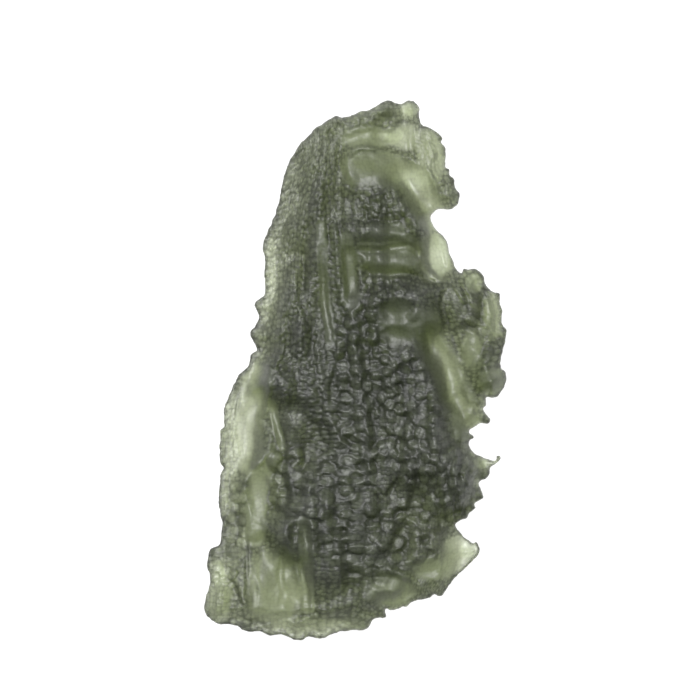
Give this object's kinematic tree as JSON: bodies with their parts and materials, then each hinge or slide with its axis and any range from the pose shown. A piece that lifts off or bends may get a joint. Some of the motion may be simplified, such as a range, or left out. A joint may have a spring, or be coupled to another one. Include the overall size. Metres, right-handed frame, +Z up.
{
  "type": "moldavite",
  "caption": "Flat, deeply etched leaf of see-through green natural glass with a thin ragged rim, lying on its broad side.",
  "frame": {"origin": "centre of the footprint box, on the surface that the stone lies on", "axes": "+X across the leaf to the right, +Y along it towards the crown, +Z up through its thickness"},
  "size_m": [0.0252, 0.045, 0.009],
  "materials": {
    "green_glass": "etched natural glass, glossy in the pits and satin on the crests"
  },
  "bodies": {
    "root": {"moldavite": "green_glass"}
  },
  "joints": []
}
